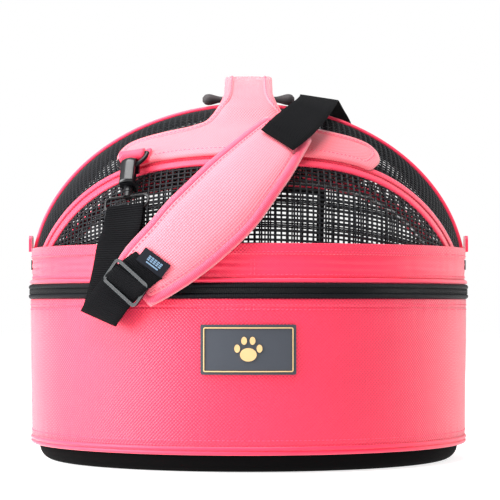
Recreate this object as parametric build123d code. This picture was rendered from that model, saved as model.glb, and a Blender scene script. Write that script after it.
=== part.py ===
from build123d import *
import math
import os

# ---- driving dimensions, mm ----
TRAY_R = 207.0
TRAY_H = 20.0
TRAY_WALL = 3.0
TRAY_CORNER = 14.0
DRUM_FOOT_R = 214.8
DRUM_TOP_R = 216.3
DRUM_FOOT_Z = 24.5
DRUM_TOP_Z = 156.5
COVER_T = 1.6
FOAM_T = 9.0
FABRIC_GAP = 0.3
LINER_T = 2.5
BOARD_T = 3.0
CUSHION_T = 38.0
CUSHION_EDGE = 16.0
CUSHION_CLEAR = 2.0
ZIP_PLANE_Z = 164.0
ZIP_HALF_H = 7.0
ZIP_BULGE_R = 218.2
ZIP_DEPTH = 3.4
TEETH_R = 217.6
TEETH_DEPTH = 2.4
TEETH_H = 2.2
PARTING = 0.7
PULL_PIN_R = 0.7
PIN_FIT = 0.08
PULL_LEN = 29.0
PULL_AT = 4.1
PIPING_R = 2.0
COLLAR_R = 214.8
COLLAR_T = 1.6
COLLAR_FOOT_Z = 175.6
COLLAR_TOP_Z = 206.0
HEM_H = 9.0
HEM_T = 1.0
RIM_WIRE_R = 2.5
DOME_R = 213.0
DOME_RISE = 168.5
DOME_BASE_Z = 180.0
MESH_T = 1.2
BAND_W = 16.0
BAND_PROUD = 1.6
COIL_AT = 8.4
SADDLE_EDGE = 11.0
HOOP_Y = -175.5
HOOP_Z = 278.5
HOOP_TILT = 38.9
BOW = (4.0, 54.3, -94.7, 20.7)
WIDEN = 0.4
ROD_R = 2.4
ROD_INSET = 4.2
RIDGE_PIPE_R = 2.2
DOOR_GAP = 0.6
DOOR_W = 164.0
DOOR_HEM = 8.0
SADDLE_LIFT = 1.8
SADDLE_T = 2.2
SADDLE_IN = 12.0
HANDLE_W = 42.0
HANDLE_T = 6.0
HANDLE_OVER = 31.5
BAR_HALF = 46.0
BAR_NECK_R = 3.2
BAR_END_R = 5.6
BAR_CLEAR = 0.4
BADGE_W = 86.0
BADGE_H = 45.0
BADGE_Z = 111.0
BADGE_T = 2.0
BADGE_CORNER = 1.6
RING_X = 107.0
RING_DROP = 59.5
RING_LIFT = 14.0
LOOP_W = 24.0
LOOP_T = 2.0
DRING_R = 15.0
DRING_WIRE = 2.0
HOOK_EYE = 4.0
EYE_TOP = 4.2
HOOK_T = 3.0
HOOK_W = 13.0
HOOK_LEN = 31.0
HOOK_TURN = 0.7
GATE_LEN = 15.0
GATE_W = 8.0
GATE_PIN_R = 0.9
WEB_W = 38.0
WEB_T = 1.6
WEB_LIFT = 5.8
PAD_T = 8.0
PAD_LIFT = 10.0
LABEL_T = 0.8
HINGE_W = 90.0
CLEAR = 0.35

# ---- heights that follow from them ----
DOME_TOP_Z = DOME_BASE_Z + DOME_RISE
RING_Z = DOME_TOP_Z - RING_DROP

Z_UP = Vector(0, 0, 1)


def save(shape, name, rgb):
    shape.label = name
    shape.color = Color(*rgb)
    export_step(shape, os.path.join("parts", name + ".step"))


def spin(points):
    # a closed profile of (radius, height) corners, turned once round the Z axis
    face = make_face(Plane.XZ * Polyline(*points, close=True))
    return revolve(face, Axis.Z, 360)


def band(r_in, r_out, z_low, z_high):
    return spin([(r_in, z_low), (r_out, z_low), (r_out, z_high), (r_in, z_high)])


def ring(radius, wire, z):
    return Pos(0, 0, z) * Torus(radius, wire)


def slab(x0, x1, y0, y1, z0, z1):
    size = (x1 - x0, y1 - y0, z1 - z0)
    return Pos((x0 + x1) / 2, (y0 + y1) / 2, (z0 + z1) / 2) * Box(*size)


def one(shape):
    # the largest solid of a boolean result
    return max(shape.solids(), key=lambda s: s.volume)


# ---- dome geometry ----

def dome_solid(offset, z_low):
    a = DOME_R + offset
    b = DOME_RISE + offset
    start = math.degrees(math.asin((z_low - DOME_BASE_Z) / b))
    arc = Plane.XZ * EllipticalCenterArc((0, DOME_BASE_Z), a, b, start, arc_size=90 - start)
    r_low = a * math.cos(math.radians(start))
    lines = [
        Plane.XZ * Line((0, DOME_BASE_Z + b), (0, z_low)),
        Plane.XZ * Line((0, z_low), (r_low, z_low)),
    ]
    return revolve(make_face(Curve() + [arc] + lines), Axis.Z, 360)


def dome_shell(low, high, z_low):
    return dome_solid(high, z_low) - dome_solid(low, z_low - 1.0)


def dome_radius(z, offset):
    if z <= DOME_BASE_Z:
        return DOME_R + offset
    part = 1 - ((z - DOME_BASE_Z) / (DOME_RISE + offset)) ** 2
    return (DOME_R + offset) * math.sqrt(max(part, 0.0))


def on_dome(x, z, offset, side=-1):
    # the point of the offset dome at this x and height, on the front (-1) or back (+1)
    r = dome_radius(z, offset)
    return Vector(x, side * math.sqrt(max(r * r - x * x, 0.0)), z)


def dome_normal(p):
    a2 = DOME_R ** 2
    b2 = DOME_RISE ** 2
    up = max(p.Z - DOME_BASE_Z, 0.0)
    return Vector(p.X / a2, p.Y / a2, up / b2).normalized()


def hoop_plane(side):
    # side -1 is the front hoop, +1 the back hoop; local Z points up over the dome
    tilt = math.radians(HOOP_TILT)
    normal = Vector(0, -side * math.sin(tilt), math.cos(tilt))
    return Plane((0, -side * HOOP_Y, HOOP_Z), x_dir=(1, 0, 0), z_dir=normal)


def bow(x, shift):
    # height over the hoop plane, at this x, of the line that lies shift above the hoop's lower edge
    t = (x / 200) ** 2
    rise = BOW[0] + BOW[1] * t + BOW[2] * t ** 2 + BOW[3] * t ** 3
    return rise + shift * (1 + WIDEN * t ** 2)


def blade(side, outline):
    # an outline in x and height over the hoop plane, drawn out along the hoop plane
    h = hoop_plane(side)
    across = Plane(h.origin, x_dir=(1, 0, 0), z_dir=-h.y_dir)
    return extrude(across * make_face(outline), 450, both=True)


def bow_curve(shift):
    return Spline(*[(x, bow(x, shift)) for x in range(-225, 226, 15)])


def closed(low, high):
    ends = [Line(low @ 1, high @ 1), Line(high @ 0, low @ 0)]
    return Curve() + [low, high] + ends


def beyond(side, shift):
    # everything below the bowed hoop line moved up by shift, toward its own side
    return blade(side, closed(Line((-225, -600), (225, -600)), bow_curve(shift)))


def between(side, low, high):
    return blade(side, closed(bow_curve(low), bow_curve(high)))


def hoop_point(side, inset, shift, x):
    # where the bowed hoop line meets the dome moved inward, at this x
    a = DOME_R - inset
    b = DOME_RISE - inset
    c = math.cos(math.radians(HOOP_TILT))
    s = math.sin(math.radians(HOOP_TILT))
    base = hoop_plane(side).origin + hoop_plane(side).z_dir * bow(x, shift)
    y0 = base.Y
    z0 = base.Z - DOME_BASE_Z
    aa = (c / a) ** 2 + (s / b) ** 2
    bb = y0 * side * c / a ** 2 + z0 * s / b ** 2
    cc = (y0 / a) ** 2 + (z0 / b) ** 2 + (x / a) ** 2 - 1
    reach = (math.sqrt(max(bb * bb - aa * cc, 0.0)) - bb) / aa
    return Vector(x, y0 + side * c * reach, base.Z + s * reach)


def hoop_rod(side):
    # the rod stops behind the collar
    foot = 150.0
    while hoop_point(side, ROD_INSET, BAND_W / 2, foot).Z > COLLAR_TOP_Z - 4:
        foot += 0.5
    turns = [math.pi * (k / 24 - 0.5) for k in range(25)]
    path = Spline(*[hoop_point(side, ROD_INSET, BAND_W / 2, foot * math.sin(t)) for t in turns])
    return sweep(Plane(path @ 0, z_dir=path % 0) * Circle(ROD_R), path=path)


def arch(inset, wire, z_low):
    # a rod over the dome from left to right in the plane y = 0
    a = DOME_R - inset
    b = DOME_RISE - inset
    start = math.degrees(math.asin((z_low - DOME_BASE_Z) / b))
    curve = EllipticalCenterArc((0, DOME_BASE_Z), a, b, start, arc_size=180 - 2 * start)
    path = Plane.XZ * curve
    return sweep(Plane(path @ 0, z_dir=path % 0) * Circle(wire), path=path)


# ---- base ----

def base_tray():
    outer = Cylinder(TRAY_R, TRAY_H, align=(Align.CENTER, Align.CENTER, Align.MIN))
    outer = fillet(outer.edges().filter_by(GeomType.CIRCLE).sort_by(Axis.Z)[0], TRAY_CORNER)
    pan = Cylinder(TRAY_R - TRAY_WALL, TRAY_H, align=(Align.CENTER, Align.CENTER, Align.MIN))
    pan = Pos(0, 0, TRAY_WALL) * pan
    low = pan.edges().filter_by(GeomType.CIRCLE).sort_by(Axis.Z)[0]
    return outer - fillet(low, TRAY_CORNER - TRAY_WALL)


def cover_r(z):
    t = (z - DRUM_FOOT_Z) / (DRUM_TOP_Z - DRUM_FOOT_Z)
    return DRUM_FOOT_R + (DRUM_TOP_R - DRUM_FOOT_R) * t


def tapered(depth_in, depth_out, z0, z1):
    # a conical wall that follows the drum cover, between two depths under its face
    return spin([
        (cover_r(z0) - depth_in, z0),
        (cover_r(z0) - depth_out, z0),
        (cover_r(z1) - depth_out, z1),
        (cover_r(z1) - depth_in, z1),
    ])


def drum_wall():
    deep = COVER_T + FABRIC_GAP
    z0 = TRAY_H + 0.5
    z1 = DRUM_TOP_Z - 1
    return spin([
        (DRUM_FOOT_R - deep - FOAM_T, z0),
        (DRUM_FOOT_R - 3.7, z0),
        (DRUM_FOOT_R - 3.7, DRUM_FOOT_Z),
        (cover_r(DRUM_FOOT_Z) - deep, DRUM_FOOT_Z),
        (cover_r(z1) - deep, z1),
        (cover_r(z1) - deep - FOAM_T, z1),
    ])


def liner():
    deep = COVER_T + 2 * FABRIC_GAP + FOAM_T
    return tapered(deep + LINER_T, deep, TRAY_H + 2, DRUM_TOP_Z - 2)


def inner_r():
    deep = COVER_T + 3 * FABRIC_GAP + FOAM_T + LINER_T
    return DRUM_FOOT_R - deep


def floor_board():
    disc = Cylinder(TRAY_R - TRAY_WALL - 3, BOARD_T, align=(Align.CENTER, Align.CENTER, Align.MIN))
    return Pos(0, 0, TRAY_H - BOARD_T) * disc


def cushion():
    z = TRAY_H + CLEAR
    solid = Cylinder(inner_r() - CUSHION_CLEAR, CUSHION_T, align=(Align.CENTER, Align.CENTER, Align.MIN))
    rims = solid.edges().filter_by(GeomType.CIRCLE)
    return Pos(0, 0, z) * fillet(rims, CUSHION_EDGE)


def half_roll(radius, z, low, high):
    # corners of the outer half of a piping roll, between two angles
    turns = [math.radians(low + (high - low) * k / 10) for k in range(11)]
    return [(radius + PIPING_R * math.cos(t), z + PIPING_R * math.sin(t)) for t in turns]


def foot_piping():
    # two rolls with a flat back against the foam wall
    back = DRUM_FOOT_R - 3.2
    low = half_roll(DRUM_FOOT_R - 1.0, DRUM_FOOT_Z - 6.3, -90, 75)
    high = half_roll(DRUM_FOOT_R - 0.7, DRUM_FOOT_Z - 2.4, -75, 90)
    return spin([(back, DRUM_FOOT_Z - 8.3)] + low + high + [(back, DRUM_FOOT_Z - 0.4)])


def zip_flap(z0, z1):
    # the rounded black flap above or below the teeth
    shape = band(ZIP_BULGE_R - ZIP_DEPTH, ZIP_BULGE_R, z0, z1)
    edges = [e for e in shape.edges().filter_by(GeomType.CIRCLE) if e.radius > ZIP_BULGE_R - 0.1]
    return fillet(edges, 1.2)


def zip_teeth(z0, z1):
    return band(TEETH_R - TEETH_DEPTH, TEETH_R, z0, z1)


def badge_box(w, h, depth_low, depth_high):
    # a rounded plate bent to the drum cover at the front
    r = cover_r(BADGE_Z)
    sheet = band(r + depth_low, r + depth_high, BADGE_Z - h, BADGE_Z + h)
    outline = Plane.XZ * Pos(0, BADGE_Z) * RectangleRounded(w, h, BADGE_CORNER)
    return one(sheet & extrude(outline, 300, dir=(0, -1, 0)))


def badge_border():
    outer = badge_box(BADGE_W - 5, BADGE_H - 5, BADGE_T + 0.6, BADGE_T + 1.2)
    inner = Plane.XZ * Pos(0, BADGE_Z) * RectangleRounded(BADGE_W - 7, BADGE_H - 7, 0.8)
    return one(outer - extrude(inner, 300, dir=(0, -1, 0)))


def badge_paw():
    r = cover_r(BADGE_Z)
    sheet = band(r + BADGE_T + 0.6, r + BADGE_T + 1.2, BADGE_Z - 30, BADGE_Z + 30)
    marks = Pos(0, BADGE_Z - 4.5) * Ellipse(7.5, 6)
    for x, z in ((-10, 1), (-3.8, 8), (3.8, 8), (10, 1)):
        marks += Pos(x, BADGE_Z + z) * Ellipse(2.6, 3.6)
    return sheet & extrude(Plane.XZ * marks, 300, dir=(0, -1, 0))


def hinge_strip():
    # fabric joining base and dome behind, below the turning line
    sheet = band(ZIP_BULGE_R + 0.3, ZIP_BULGE_R + 1.5, DRUM_TOP_Z - 12, ZIP_PLANE_Z - CLEAR)
    return one(sheet & slab(-HINGE_W / 2, HINGE_W / 2, 100, 300, 0, 400))


# ---- zip sliders, made at the right and turned into place ----

def slider():
    r = ZIP_BULGE_R + CLEAR + 0.1
    plate = slab(r, r + 2.2, -4.5, 4.5, ZIP_PLANE_Z - 5.5, ZIP_PLANE_Z + 5.5)
    plate = fillet(plate.edges().filter_by(Axis.X), 2.5)
    lugs = slab(r + 2.0, r + 5.4, -4, -2.2, ZIP_PLANE_Z - 2.5, ZIP_PLANE_Z + 2.5)
    lugs += slab(r + 2.0, r + 5.4, 2.2, 4, ZIP_PLANE_Z - 2.5, ZIP_PLANE_Z + 2.5)
    pin = Pos(r + PULL_AT, 0, ZIP_PLANE_Z) * Rot(90, 0, 0) * Cylinder(PULL_PIN_R, 5.6)
    return plate + lugs + pin


def pull():
    r = ZIP_BULGE_R + CLEAR + 0.1 + PULL_AT
    tab = slab(r - 0.7, r + 0.7, -1.8, 1.8, ZIP_PLANE_Z - 12, ZIP_PLANE_Z)
    tab += slab(r - 0.7, r + 0.7, -4, 4, ZIP_PLANE_Z - PULL_LEN, ZIP_PLANE_Z - 10)
    axis = Pos(r, 0, ZIP_PLANE_Z) * Rot(90, 0, 0)
    return one(tab + axis * Cylinder(1.5, 3.6) - axis * Cylinder(PULL_PIN_R + PIN_FIT, 20))


# ---- dome pieces ----

def collar():
    return band(COLLAR_R - COLLAR_T, COLLAR_R, COLLAR_FOOT_Z, COLLAR_TOP_Z)


def collar_piping():
    z = COLLAR_FOOT_Z - PIPING_R - 0.2
    r_in = COLLAR_R - COLLAR_T
    return ring(COLLAR_R + 0.7, PIPING_R, z) + band(r_in - 1.2, r_in - 0.2, z - PIPING_R, z + 7)


def collar_hem():
    return band(COLLAR_R + 0.05, COLLAR_R + HEM_T, COLLAR_TOP_Z - HEM_H, COLLAR_TOP_Z + 0.4)


def facing(shape, side):
    # a back piece as it is, or mirrored into the front one
    return shape if side > 0 else mirror(shape, Plane.XZ)


def hoop_band(side):
    shell = dome_shell(-MESH_T, BAND_PROUD, COLLAR_TOP_Z + 0.5)
    return facing(one(shell & between(1, 0, BAND_W)), side)


def hoop_coil(side):
    shell = dome_shell(BAND_PROUD + 0.1, BAND_PROUD + 1.1, COLLAR_TOP_Z + 0.5)
    return one(shell & between(side, COIL_AT - 1.6, COIL_AT + 1.6))


def front_mesh():
    shell = dome_shell(-MESH_T, 0, COLLAR_TOP_Z + 0.5)
    return one(shell & beyond(-1, -0.1))


def back_shell(low, high, gap):
    shell = dome_shell(low, high, COLLAR_TOP_Z + 0.5 + gap)
    return shell & beyond(1, -0.1 - gap)


def door_column(half):
    return slab(-half, half, 0, 300, 0, 500)


def back_mesh_sides():
    # the fixed mesh left and right of the back door
    return back_shell(-MESH_T, 0, 0) - door_column(DOOR_W / 2 + DOOR_GAP)


def door_mesh():
    # the back door clears the band, the collar and the fixed mesh, so that it can swing
    half = DOOR_W / 2 - DOOR_HEM - 0.05
    panel = back_shell(-MESH_T, 0, DOOR_GAP + 0.05) & door_column(half)
    return one(panel & beyond(1, -DOOR_GAP - DOOR_HEM - 0.05))


def door_hem():
    # the fabric edge that carries the door's zip, on its top and both sides
    frame = back_shell(-MESH_T, 0.8, DOOR_GAP) & door_column(DOOR_W / 2)
    hole = beyond(1, -DOOR_GAP - DOOR_HEM) & door_column(DOOR_W / 2 - DOOR_HEM)
    return one(frame - hole)


def top_mesh(side):
    shell = dome_shell(-MESH_T, 0, COLLAR_TOP_Z + 0.5)
    shell = shell - beyond(side, BAND_W + 0.1)
    half = slab(-300, 300, 0, 300, 0, 500) if side > 0 else slab(-300, 300, -300, 0, 0, 500)
    return one(shell & half)


def ridge_piping():
    return arch(-RIDGE_PIPE_R - 0.2, RIDGE_PIPE_R, COLLAR_TOP_Z + 0.6)


def saddle(side):
    # the yoke, cut by its outline seen from the front
    shell = dome_shell(SADDLE_LIFT, SADDLE_LIFT + SADDLE_T, 240)
    half = [(0, 250), (123, 250), (125, 296), (120, 303), (112, 307), (94, 312), (66, 319), (50, 324)]
    half += [(38, 331), (29, 341), (21, 350), (0, 350)]
    outline = half + [(-x, z) for x, z in reversed(half[1:-1])]
    face = Pos(0, side * SADDLE_IN, 0) * make_face(Plane.XZ * Polyline(*outline, close=True))
    bib = extrude(face, 300, dir=(0, side, 0))
    cut = beyond(side, SADDLE_EDGE)
    return one(shell & bib - cut)


def handle():
    top = DOME_TOP_Z + HANDLE_OVER - HANDLE_T / 2
    foot = on_dome(0, DOME_TOP_Z - 17.5, SADDLE_LIFT + SADDLE_T + HANDLE_T / 2 + 0.3)
    rise = [(foot.Y, foot.Z), (-76, DOME_TOP_Z + 11.5), (-42, DOME_TOP_Z + 24)]
    pts = rise + [(0, top)] + [(-y, z) for y, z in reversed(rise)]
    path = Plane.YZ * Spline(*pts)
    section = Plane(path @ 0, x_dir=(1, 0, 0), z_dir=path % 0) * RectangleRounded(HANDLE_W, HANDLE_T, 2.2)
    return sweep(section, path=path)


def cross_bar():
    neck = [(0, BAR_NECK_R), (24, BAR_NECK_R), (31, BAR_NECK_R + 0.4), (36, BAR_END_R - 0.6)]
    neck += [(40, BAR_END_R), (44, BAR_END_R - 1.2), (BAR_HALF, 0.0)]
    top = Spline(*[(x, r) for x, r in neck[1:-1]])
    edges = [
        Line((0, 0), (0, BAR_NECK_R)),
        Line((0, BAR_NECK_R), (24, BAR_NECK_R)),
        top,
        Line((44, BAR_END_R - 1.2), (BAR_HALF, BAR_END_R - 3.6)),
        Line((BAR_HALF, BAR_END_R - 3.6), (BAR_HALF, 0)),
        Line((BAR_HALF, 0), (0, 0)),
    ]
    half = revolve(make_face(Curve() + edges), Axis.X, 360)
    z = DOME_TOP_Z + 2 * RIDGE_PIPE_R + 0.2 + BAR_NECK_R + BAR_CLEAR
    return Pos(0, 0, z) * (half + mirror(half, Plane.YZ))


def side_tab(sign):
    post = slab(0, 2.6, -11, 11, COLLAR_TOP_Z - 2, COLLAR_TOP_Z + 14)
    post = fillet(post.edges().filter_by(Axis.X).sort_by(Axis.Z)[-2:], 5)
    tab = Pos(COLLAR_R + HEM_T + 0.1, 0, 0) * post
    return tab if sign > 0 else mirror(tab, Plane.YZ)


def keeper(sign):
    strip = band(COLLAR_R + 0.1, COLLAR_R + 1.3, COLLAR_TOP_Z - 20, COLLAR_TOP_Z - 10.5)
    return one(strip & (slab(0, 300, -16, 16, 0, 400) if sign > 0 else slab(-300, 0, -16, 16, 0, 400)))


# ---- strap hardware: local Y runs along the strap away from the hook's tip, local Z out of the dome ----

def aimed(p, target):
    # a frame on the dome whose Y points away from the target
    n = dome_normal(p)
    way = target - p
    back = (way - n * way.dot(n)).normalized() * -1
    return Plane(p, x_dir=back.cross(n), z_dir=n)


def ring_frame(side):
    # the front ring hangs down the dome, the back one is pulled up toward the ridge
    p = on_dome(side * RING_X, RING_Z, RING_LIFT, side)
    if side > 0:
        return aimed(p, Vector(69, 0, DOME_TOP_Z + 7.5))
    low = on_dome(side * (RING_X + 3), RING_Z - 40, RING_LIFT, side)
    return aimed(p, low)


def hook_frame(side):
    # the hook hangs from the round side of the ring, down the dome in front and up it behind
    hang = ring_frame(side).origin - ring_frame(side).y_dir * DRING_R
    if side < 0:
        target = on_dome(-RING_X - 5, RING_Z - 56, RING_LIFT + 1, side)
        turned = Vector(0, -HOOK_TURN, 0)
    else:
        target = Vector(84, 50, DOME_TOP_Z + 4.5)
        turned = Vector(0, 0, 0)
    back = (hang - target).normalized()
    n = (dome_normal((hang + target) * 0.5) + turned).normalized()
    out = (n - back * n.dot(back)).normalized()
    return Plane(hang, x_dir=back.cross(out), z_dir=out)


def web_loop(side):
    # a loop of webbing round the straight side of the ring, sewn down on the saddle
    f = ring_frame(side)
    r = DRING_WIRE + 0.4 + LOOP_T
    return f * Rot(0, 90, 0) * (Cylinder(r, LOOP_W) - Cylinder(r - LOOP_T, LOOP_W + 1))


def loop_tail(side):
    # the sewn end of the loop, from the saddle up to the tube
    f = ring_frame(side)
    drop = RING_LIFT - SADDLE_LIFT - SADDLE_T - 0.4
    r = DRING_WIRE + 0.4 + LOOP_T
    tail = Pos(0, r / 2 + 5, -drop + 1.2) * Box(LOOP_W, r + 14, 2.4)
    neck = Pos(0, r - 0.6, -drop / 2) * Box(LOOP_W, 1.6, drop)
    return f * (tail + neck)


def d_ring(side):
    bar = Rot(0, 90, 0) * Cylinder(DRING_WIRE, 2 * DRING_R)
    round_side = Torus(DRING_R, DRING_WIRE) & Pos(0, -25, 0) * Box(80, 50, 20)
    ends = Pos(-DRING_R, 0, 0) * Sphere(DRING_WIRE) + Pos(DRING_R, 0, 0) * Sphere(DRING_WIRE)
    return ring_frame(side) * (bar + round_side + ends)


def hook_body(side):
    # the hook seen from its edge: eye over the ring, gap on the inner side, stem below
    mid = EYE_TOP - HOOK_EYE
    out = HOOK_EYE + HOOK_T
    foot = mid - HOOK_LEN + out
    disc = Pos(mid, 0) * Circle(out)
    leg = Pos((mid + foot) / 2, 0) * Rectangle(mid - foot, 2 * out)
    eye = Pos(mid, 0) * Circle(HOOK_EYE) + Pos(mid - 10, 0) * Rectangle(20, 2 * HOOK_EYE)
    gap = Pos(mid - 4 - GATE_LEN / 2 - 0.5, -out) * Rectangle(GATE_LEN + 1, 2 * HOOK_T + 0.2)
    sketch = disc + leg - eye - gap
    shape = extrude(Plane.YZ * sketch, HOOK_W / 2, both=True)
    pivot = mid - 4 - GATE_LEN + 2.6
    ear = Pos(0, pivot, -out + 2.0) * Rot(0, 90, 0) * Cylinder(2.4, HOOK_W)
    ear -= Box(GATE_W + 2 * CLEAR, 200, 200)
    ear += Pos(0, pivot, -out + 2.0) * Rot(0, 90, 0) * Cylinder(GATE_PIN_R, HOOK_W)
    web = Pos(0, foot + 3.5, -out + 2.0) * (Box(HOOK_W, 9, 4) - Box(GATE_W + 2 * CLEAR, 20, 9))
    stem = Pos(0, foot - 2.8, 0) * Rot(90, 0, 0) * Cylinder(4.2, 6)
    return hook_frame(side) * (shape + ear + web + stem)


def hook_gate(side):
    mid = EYE_TOP - HOOK_EYE
    out = HOOK_EYE + HOOK_T
    pivot = mid - 4 - GATE_LEN + 2.6
    top = mid - 4 - CLEAR
    bar = Pos(0, (pivot + top) / 2, -out + 1.6) * Box(GATE_W, top - pivot, 2.4)
    eye = Pos(0, pivot, -out + 2.0) * Rot(0, 90, 0) * Cylinder(2.1, GATE_W)
    hole = Pos(0, pivot, -out + 2.0) * Rot(0, 90, 0) * Cylinder(GATE_PIN_R + CLEAR, 20)
    return hook_frame(side) * one(bar + eye - hole)


def strap_ring(side):
    # an oblong wire ring that swivels on the stem, with its collar
    foot = EYE_TOP + HOOK_T - HOOK_LEN
    path = Wire(RectangleRounded(WEB_W + 3.5, 13, 5).edges())
    wire = sweep(Plane(path @ 0, z_dir=path % 0) * Circle(1.5), path=path)
    boss = Pos(0, 8.0, 0) * Rot(90, 0, 0) * Cylinder(3.8, 5)
    return hook_frame(side) * Pos(0, foot - 6.2 - 10.5, 0) * (wire + boss)


def ring_bar(side):
    # the far bar of the strap ring, where the webbing turns
    foot = EYE_TOP + HOOK_T - HOOK_LEN
    return hook_frame(side) * Pos(0, foot - 6.2 - 10.5 - 6.5, 0)


def turn(side):
    # webbing wrapped round the far bar of the strap ring
    r = 1.5 + 0.4 + WEB_T
    tube = Rot(0, 90, 0) * (Cylinder(r, WEB_W - 9) - Cylinder(r - WEB_T, WEB_W))
    return ring_bar(side) * tube


def draped(points, low, high):
    # a sheet lying over the front of the dome and drum, cut by its outline seen from the front
    a = DOME_R
    skin = dome_solid(high, DOME_BASE_Z) + band(1, a + high, 100, DOME_BASE_Z)
    core = dome_solid(low, DOME_BASE_Z) + band(0.5, a + low, 99, DOME_BASE_Z)
    face = make_face(Plane.XZ * Polyline(*points, close=True))
    return one((skin - core) & extrude(face, 300, dir=(0, -1, 0)))


def ribbon(left, right, thick):
    # a strap between two edge curves through the given points
    sheet = Face.make_surface_from_curves(Edge.make_spline(left), Edge.make_spline(right))
    return thicken(sheet, thick / 2, both=True)


# outlines seen from the front, (x, height)
FRONT_STRAND = [(-129, 235), (-95, 235), (-103, 208), (-110, 182), (-118.5, 134), (-152, 148),
                (-144, 180), (-138, 208)]
RETURN_STRAND = [(-129, 235), (-93, 235), (-92, 208), (-97, 182), (-126, 190), (-131, 208)]
FOLD_LINE = [(-152, 148), (-118.5, 134), (-117.7, 136), (-151.2, 150)]
TAIL = [(-152, 148), (-118.5, 134), (-98, 158), (-77, 175), (-101, 199), (-126, 182)]
LABEL = [(-92, 203), (-69, 186), (-78, 175), (-101, 192)]
PAD = [(-118, 190), (-108, 204), (-90, 223), (-72, 244), (-54, 262), (-36, 280), (-18, 296),
       (0, 312), (17, 326)]
PAD += [(57, 304), (50, 291), (39, 271), (23, 247), (5, 222), (-17, 200), (-44, 178),
        (-70, 161), (-89, 151)]


def strap_front():
    low = WEB_LIFT + WEB_T + 0.4
    top = PAD_LIFT + PAD_T + 0.3
    strand = draped(FRONT_STRAND, low, low + WEB_T)
    fold = draped(FOLD_LINE, low, top + WEB_T)
    tail = draped(TAIL, top, top + WEB_T)
    return strand + fold + tail


def strap_return():
    return draped(RETURN_STRAND, WEB_LIFT, WEB_LIFT + WEB_T)


def strap_over():
    # from the top of the pad over the ridge and down to the back ring
    end = ring_bar(1)
    here = end.position
    across = end.x_axis.direction * (WEB_W / 2 - 1)
    near = Vector(here.X, here.Y, here.Z) + end.z_axis.direction * 3.0
    top = DOME_TOP_Z
    left = [(14, -166, 314), (31, -136, 332), (46, -98, top - 1.5), (51, -48, top + 7.5), (51, 0, top + 10)]
    right = [(43, -183, 294), (62, -160, 311), (79, -112, top - 13.5), (87, -52, top + 1.5),
             (88, 0, top + 6.5)]
    first = near + across
    second = near - across
    if first.X > second.X:
        first, second = second, first
    left.append(tuple(first))
    right.append(tuple(second))
    return ribbon(left, right, WEB_T)


def tri_glide():
    p = on_dome(-110, 171, PAD_LIFT + PAD_T + WEB_T + 2.4)
    n = Vector(p.X, p.Y, 0).normalized()
    f = Plane(p, x_dir=Z_UP.cross(n), z_dir=n)
    shape = RectangleRounded(WEB_W + 5, 26, 5) - RectangleRounded(WEB_W, 20, 2.5)
    bar = Rectangle(WEB_W + 1, 3)
    return f * Rot(0, 0, -38) * extrude(shape + bar, 1.3, both=True)


def woven_label():
    top = PAD_LIFT + PAD_T + 0.3 + WEB_T + 0.2
    return draped(LABEL, top, top + LABEL_T)


PINK = (0.95, 0.27, 0.42)
BLACK = (0.05, 0.05, 0.06)
GREY = (0.30, 0.30, 0.31)
SLATE = (0.33, 0.35, 0.39)
TAN = (0.87, 0.76, 0.55)
CREAM = (0.90, 0.88, 0.83)


def build_base():
    save(base_tray(), "base_tray", BLACK)
    save(drum_wall(), "drum_foam_wall", CREAM)
    save(tapered(COVER_T, 0, DRUM_FOOT_Z, DRUM_TOP_Z), "drum_cover", PINK)
    save(liner(), "plush_liner", CREAM)
    save(floor_board(), "floor_board", GREY)
    save(cushion(), "bed_cushion", CREAM)
    save(foot_piping(), "foot_piping", PINK)
    save(zip_flap(ZIP_PLANE_Z - ZIP_HALF_H, ZIP_PLANE_Z - TEETH_H - 0.3), "zip_flap_lower", BLACK)
    save(zip_teeth(ZIP_PLANE_Z - TEETH_H, ZIP_PLANE_Z - PARTING / 2), "zip_teeth_lower", BLACK)
    save(badge_box(BADGE_W, BADGE_H, 0.3, BADGE_T + 0.3), "badge_plate", SLATE)
    save(badge_border() + badge_paw(), "badge_relief", TAN)
    save(hinge_strip(), "rear_hinge_strip", BLACK)
    for name, turn_by in (("a", 28), ("b", 36)):
        save(Rot(0, 0, turn_by) * slider(), "zip_slider_" + name, BLACK)
        save(Rot(0, 0, turn_by) * pull(), "zip_pull_" + name, BLACK)


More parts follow.
